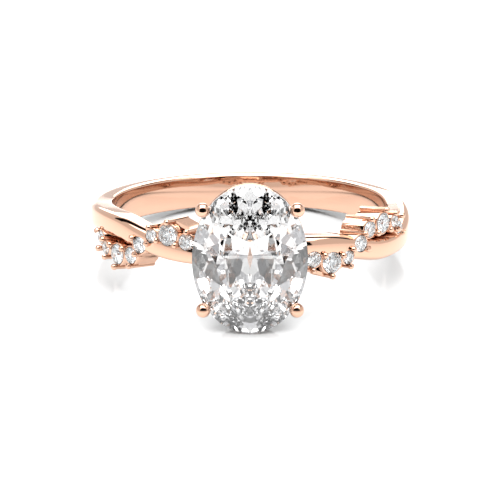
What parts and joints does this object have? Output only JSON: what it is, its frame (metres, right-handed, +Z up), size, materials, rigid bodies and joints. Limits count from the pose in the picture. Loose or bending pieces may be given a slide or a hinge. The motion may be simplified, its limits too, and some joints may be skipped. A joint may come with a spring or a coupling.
{
  "type": "twisted shank ring",
  "caption": "Finger ring with a split shank whose strands twist together, a large oval stone in a pronged head, and a vine of small round stones along each shoulder.",
  "frame": {"origin": "centre of the finger hole", "axes": "+X across the ring, -Y towards the centre stone, +Z up with the ring lying on its side; the finger hole's axis leans 9 degrees from +Z towards +Y"},
  "size_m": [0.0196, 0.0222, 0.0085],
  "materials": {
    "rose_gold": "polished",
    "diamond": "polished"
  },
  "bodies": {
    "root": {"ring_metal": "rose_gold", "centre_stone": "diamond", "right_stone_1": "diamond", "right_stone_2": "diamond", "right_stone_3": "diamond", "right_stone_4": "diamond", "right_stone_5": "diamond", "right_stone_6": "diamond", "right_stone_7": "diamond", "right_stone_8": "diamond", "left_stone_1": "diamond", "left_stone_2": "diamond", "left_stone_3": "diamond", "left_stone_4": "diamond", "left_stone_5": "diamond", "left_stone_6": "diamond", "left_stone_7": "diamond", "left_stone_8": "diamond"}
  },
  "joints": []
}
